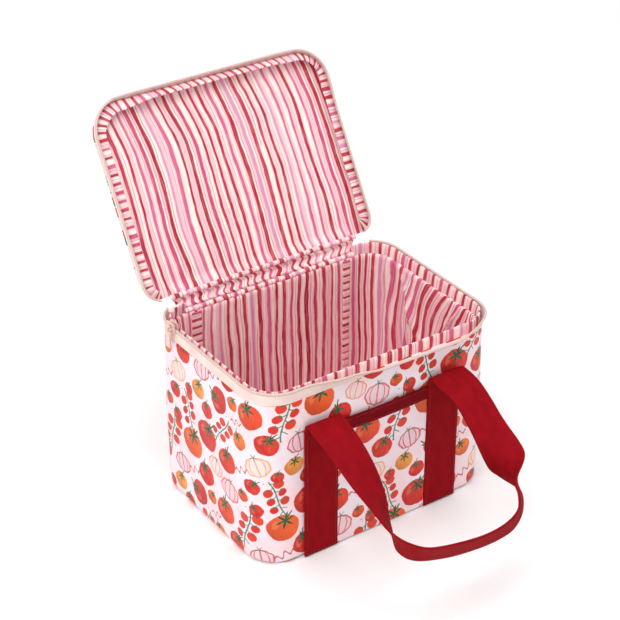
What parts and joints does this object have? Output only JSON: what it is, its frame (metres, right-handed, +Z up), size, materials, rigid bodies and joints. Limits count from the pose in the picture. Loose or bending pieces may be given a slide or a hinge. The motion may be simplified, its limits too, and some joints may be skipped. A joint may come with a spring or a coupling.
{
  "type": "insulated cooler bag",
  "caption": "Soft box-shaped insulated cooler bag with a padded zip lid open on a fabric hinge, striped lining and webbing carry loops.",
  "frame": {"origin": "middle of the base's underside, on the surface that the bag stands on", "axes": "+X to the right along the front as seen by someone facing it, front faces -Y, +Z up"},
  "size_m": [0.2469, 0.4075, 0.3273],
  "materials": {
    "printed_fabric": "smooth woven polyester printed with red and orange tomatoes and green leaves on blush white",
    "foam": "closed-cell foam sheet",
    "striped_lining": "coated lining with painterly crimson, pink and cream stripes",
    "striped_binding": "folded binding cut from the striped lining, topstitched",
    "zip_tape": "pale pink woven zip tape",
    "zip_coil": "pale pink nylon coil",
    "webbing": "deep red woven webbing with stitched edges",
    "zip_hardware": "pale pink enamelled metal"
  },
  "bodies": {
    "bag": {"outer_wrap": "printed_fabric", "outer_back": "printed_fabric", "outer_base": "printed_fabric", "foam_wrap": "foam", "foam_back": "foam", "foam_base": "foam", "lining_wrap": "striped_lining", "lining_back": "striped_lining", "lining_base": "striped_lining", "base_seam_binding": "striped_binding", "back_seam_binding_left": "striped_binding", "back_seam_binding_right": "striped_binding", "rim_binding": "striped_binding", "zip_tape_lower": "zip_tape", "zip_coil_lower": "zip_coil", "zip_end_tab_left": "zip_tape", "zip_end_tab_right": "zip_tape", "hinge_binding_lower": "striped_binding", "front_leg_left": "webbing", "front_leg_right": "webbing", "back_leg_left": "webbing", "back_leg_right": "webbing", "pocket_panel": "printed_fabric", "pocket_trim": "webbing"},
    "hinge_flap": {"hinge_strip_outer": "printed_fabric", "hinge_strip_lining": "striped_lining"},
    "lid": {"lid_outer": "printed_fabric", "lid_foam": "foam", "lid_lining": "striped_lining", "lid_binding": "striped_binding", "zip_tape_upper": "zip_tape", "zip_coil_upper": "zip_coil", "hinge_binding_upper": "striped_binding"},
    "front_handle": {"front_handle_loop": "webbing"},
    "back_handle": {"back_handle_loop": "webbing"},
    "slider": {"zip_slider": "zip_hardware"},
    "pull": {"zip_pull": "zip_hardware"}
  },
  "joints": [
    {"name": "strip_hinge", "type": "hinge", "parent": "bag", "child": "hinge_flap", "pos_m": [0, 0.0852, 0.1616], "axis": [-1, 0, 0], "range_deg": [-31, 68]},
    {"name": "lid_hinge", "type": "hinge", "parent": "hinge_flap", "child": "lid", "pos_m": [0, 0.09463, 0.17729], "axis": [-1, 0, 0], "range_deg": [-90, 70]},
    {"name": "front_handle_hinge", "type": "hinge", "parent": "bag", "child": "front_handle", "pos_m": [0, -0.091, 0.133], "axis": [-1, 0, 0], "range_deg": [-24, 125]},
    {"name": "back_handle_hinge", "type": "hinge", "parent": "bag", "child": "back_handle", "pos_m": [0, 0.091, 0.133], "axis": [-1, 0, 0], "range_deg": [-140, 0]},
    {"name": "slider_slide", "type": "slide", "parent": "bag", "child": "slider", "axis": [0, -1, 0], "range_m": [0, 0.1]},
    {"name": "pull_hinge", "type": "hinge", "parent": "slider", "child": "pull", "pos_m": [-0.1246, 0.05, 0.1734], "axis": [0, 1, 0], "range_deg": [0, 160]}
  ]
}
